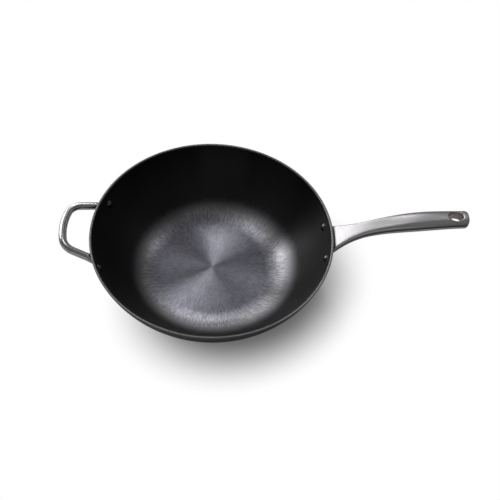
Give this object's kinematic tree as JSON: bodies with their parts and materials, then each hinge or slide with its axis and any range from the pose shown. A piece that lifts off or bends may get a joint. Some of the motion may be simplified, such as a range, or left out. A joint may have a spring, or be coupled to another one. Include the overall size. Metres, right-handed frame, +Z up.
{
  "type": "wok",
  "caption": "Flat-bottomed cast iron wok with turned interior, riveted hollow steel long handle with hanging eye, and riveted steel rod helper handle.",
  "frame": {"origin": "middle of the flat underside of the base, on the bowl's axis", "axes": "+X along the long handle, +Z up out of the bowl, +Y completes the right-handed set"},
  "size_m": [0.5245, 0.3196, 0.1372],
  "materials": {
    "cast_iron": "seasoned black iron, turned with fine rings inside, smooth outside",
    "satin_steel": "satin, finely brushed along the handle",
    "polished_steel": "polished",
    "dark_rivet_steel": "blackened, semi-gloss"
  },
  "bodies": {
    "root": {"wok_pan": "cast_iron", "handle_upper_shell": "satin_steel", "handle_lower_shell": "satin_steel", "handle_mounting_bracket": "satin_steel", "handle_eye_sleeve": "polished_steel", "handle_rivet_left": "dark_rivet_steel", "handle_rivet_right": "dark_rivet_steel", "helper_handle": "polished_steel", "helper_rivet_left": "dark_rivet_steel", "helper_rivet_right": "dark_rivet_steel"}
  },
  "joints": []
}
